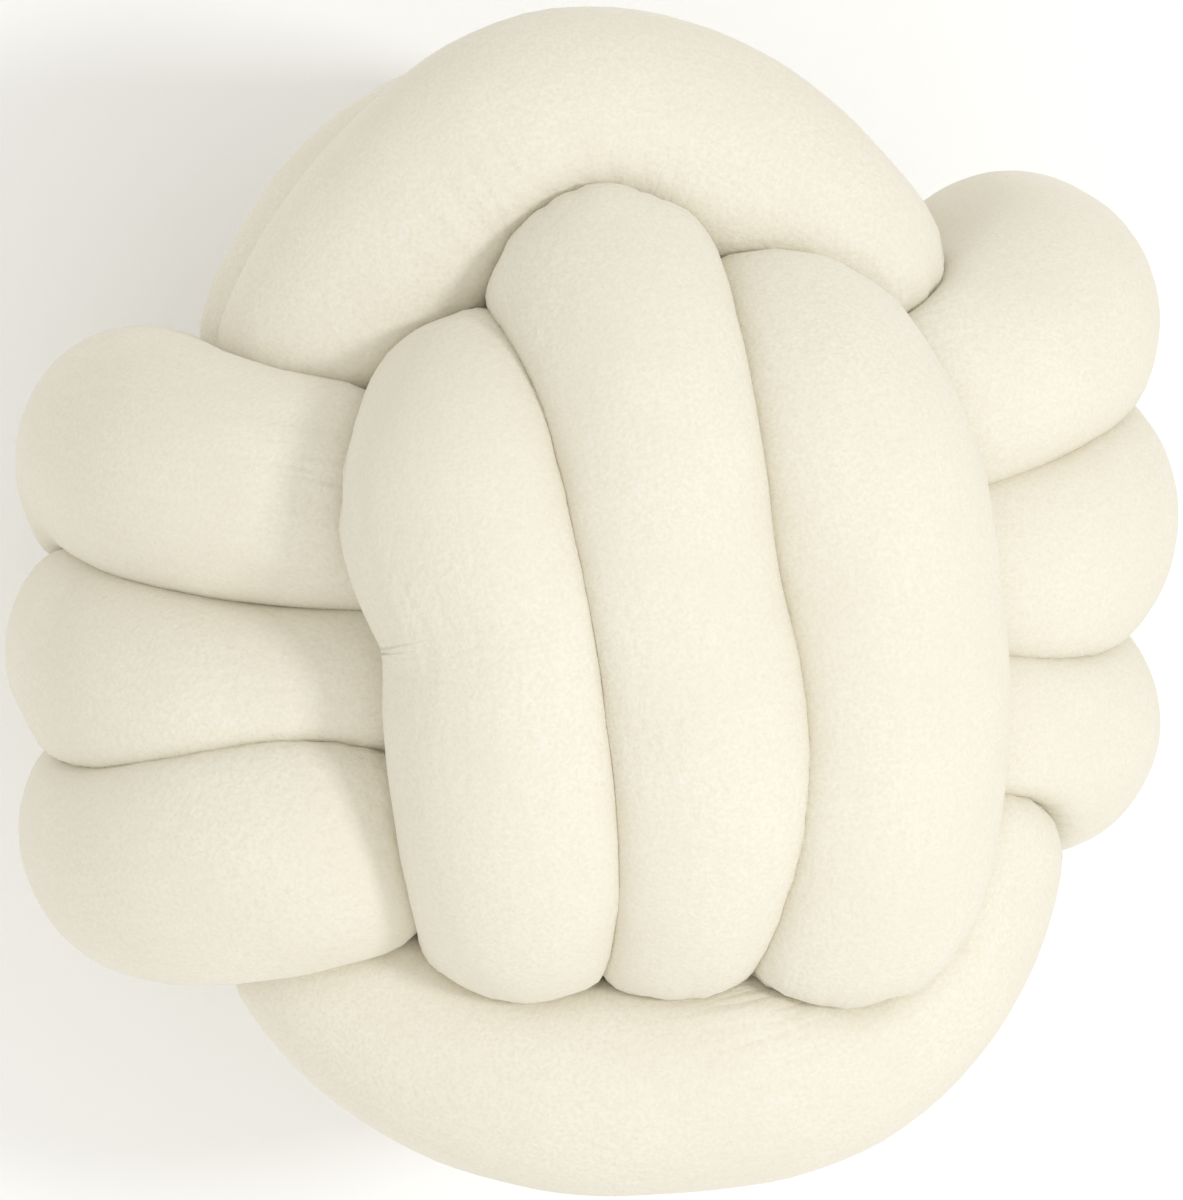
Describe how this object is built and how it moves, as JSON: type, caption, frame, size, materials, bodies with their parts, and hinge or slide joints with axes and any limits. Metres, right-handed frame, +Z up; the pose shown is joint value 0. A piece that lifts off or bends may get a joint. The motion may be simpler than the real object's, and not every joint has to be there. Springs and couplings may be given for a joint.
{
  "type": "knot cushion",
  "caption": "Ball-shaped knot cushion: one long stuffed plush tube wound in three directions and pulled together.",
  "frame": {"origin": "middle of the bounding box's underside, on the surface that the cushion rests on", "axes": "+Z up through the face with the upright strands, +Y towards the end of the face that the arch crosses, +X to the face's right"},
  "size_m": [0.3106, 0.2984, 0.2867],
  "materials": {
    "cream_plush": "short soft pile, cream"
  },
  "bodies": {
    "root": {"stuffed_tube": "cream_plush"}
  },
  "joints": []
}
